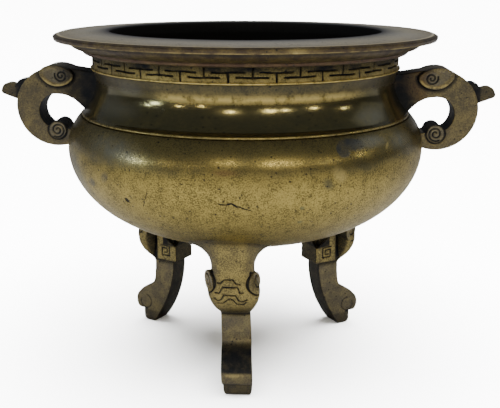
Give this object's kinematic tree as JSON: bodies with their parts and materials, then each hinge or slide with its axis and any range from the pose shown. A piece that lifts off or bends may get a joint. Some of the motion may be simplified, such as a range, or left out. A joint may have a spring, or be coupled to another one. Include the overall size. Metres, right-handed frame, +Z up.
{
  "type": "bronze tripod incense burner",
  "caption": "Round footed censer of cast bronze with a broad flat rim, a key-fret neck band, scroll handles at the sides and short curled legs.",
  "frame": {"origin": "on the floor under the vessel's axis, level with the undersides of the feet", "axes": "+Z up, +X towards one handle, -Y towards the front leg"},
  "size_m": [0.2648, 0.2, 0.178],
  "materials": {
    "bronze": "aged, satin, with brown and dark patina and worn bright edges"
  },
  "bodies": {
    "root": {"censer": "bronze"}
  },
  "joints": []
}
